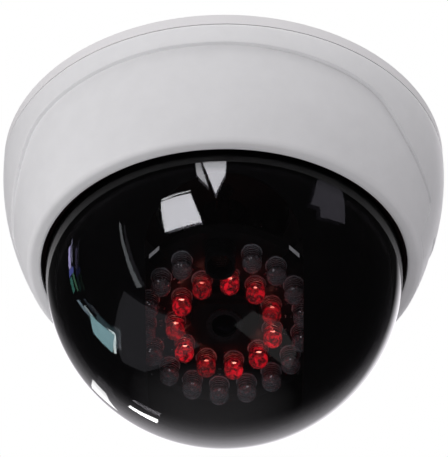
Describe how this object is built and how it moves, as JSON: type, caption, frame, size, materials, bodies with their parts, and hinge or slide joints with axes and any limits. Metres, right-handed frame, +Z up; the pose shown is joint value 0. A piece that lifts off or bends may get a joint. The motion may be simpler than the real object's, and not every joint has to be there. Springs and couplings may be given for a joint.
{
  "type": "dome security camera",
  "caption": "Round ceiling dome camera: twist-on cover, smoked dome, slotted black shroud and a pan and tilt camera with rings of infrared LEDs.",
  "frame": {"origin": "centre of the ceiling face, at the mouth of the cable entry", "axes": "+Z up into the ceiling, -Y the front, where the shroud's slot starts; the camera hangs below z = 0"},
  "size_m": [0.12, 0.12, 0.0834],
  "materials": {
    "housing": "satin moulded ABS",
    "grommet_rubber": "matte",
    "smoked_dome": "clear gloss, smoked",
    "gasket_foam": "matte",
    "black_moulding": "fine matte",
    "turntable_plastic": "satin",
    "screw_steel": "zinc plated",
    "yoke_steel": "black coated",
    "clip_steel": "spring steel",
    "retainer_steel": "plain",
    "green_board": "solder mask",
    "black_board": "black solder mask",
    "terminal_plastic": "satin",
    "can_sleeve": "sleeved can",
    "ferrite": "ferrite",
    "connector_nylon": "nylon",
    "lead_sheath": "matte",
    "knob_plastic": "ribbed",
    "led_clear": "clear epoxy",
    "led_red": "clear epoxy, lit red",
    "sensor_face": "coated face",
    "chip": "moulded",
    "sensor_glass": "cover glass",
    "brass_hex": "machined",
    "lens_black": "fine matte",
    "lens_glass": "coated"
  },
  "bodies": {
    "base": {"base_plate": "housing", "cable_grommet": "grommet_rubber", "power_board": "green_board", "power_board_screws": "screw_steel", "terminal_block": "terminal_plastic", "terminal_screws": "screw_steel", "capacitors": "can_sleeve", "power_inductor": "ferrite", "lead_header": "connector_nylon", "supply_lead": "lead_sheath", "pan_retainer_ring": "retainer_steel", "pan_retainer_screws": "screw_steel"},
    "cover": {"cover_shell": "housing", "dome": "smoked_dome", "dome_gasket": "gasket_foam", "dome_clamp_ring": "black_moulding", "clamp_ring_screws": "screw_steel"},
    "pan": {"turntable": "turntable_plastic", "yoke": "yoke_steel", "yoke_screws": "screw_steel", "shroud": "black_moulding", "shroud_screws": "screw_steel", "pivot_pin": "screw_steel", "camera_lead": "lead_sheath", "tilt_lock_washer": "screw_steel"},
    "tilt_lock": {"tilt_lock_screw": "knob_plastic"},
    "tilt": {"cradle": "black_moulding", "board_clips": "clip_steel", "led_board": "black_board", "outer_leds": "led_clear", "inner_leds": "led_red", "sensor_hood": "black_moulding", "photocell": "sensor_face", "lens_holder": "lens_black", "sensor_board": "green_board", "image_sensor": "sensor_glass", "video_chip": "chip", "standoffs": "brass_hex", "sensor_board_screws": "screw_steel", "lead_socket": "connector_nylon", "lead_plug": "connector_nylon", "lens_lock_ring": "lens_black"},
    "lens": {"lens_barrel": "lens_black", "front_lens": "lens_glass", "rear_lens": "lens_glass"}
  },
  "joints": [
    {"name": "cover_twist", "type": "hinge", "parent": "base", "child": "cover", "pos_m": [0, 0, 0], "axis": [0, 0, 1], "range_deg": [0, 18]},
    {"name": "pan", "type": "hinge", "parent": "base", "child": "pan", "pos_m": [0, 0, 0], "axis": [0, 0, 1], "range_deg": [-165, 165]},
    {"name": "tilt", "type": "hinge", "parent": "pan", "child": "tilt", "pos_m": [0, 0, -0.0361], "axis": [1, 0, 0], "range_deg": [-38, 32], "deforming": ["camera_lead"]},
    {"name": "tilt_lock_turn", "type": "hinge", "parent": "pan", "child": "tilt_lock", "pos_m": [0.034, 0, -0.0361], "axis": [1, 0, 0], "range_deg": [0, 270]},
    {"name": "lens_focus", "type": "hinge", "parent": "tilt", "child": "lens", "pos_m": [0, 0, -0.0361], "axis": [0, -0.3746, -0.9272], "range_deg": [-180, 180]}
  ]
}
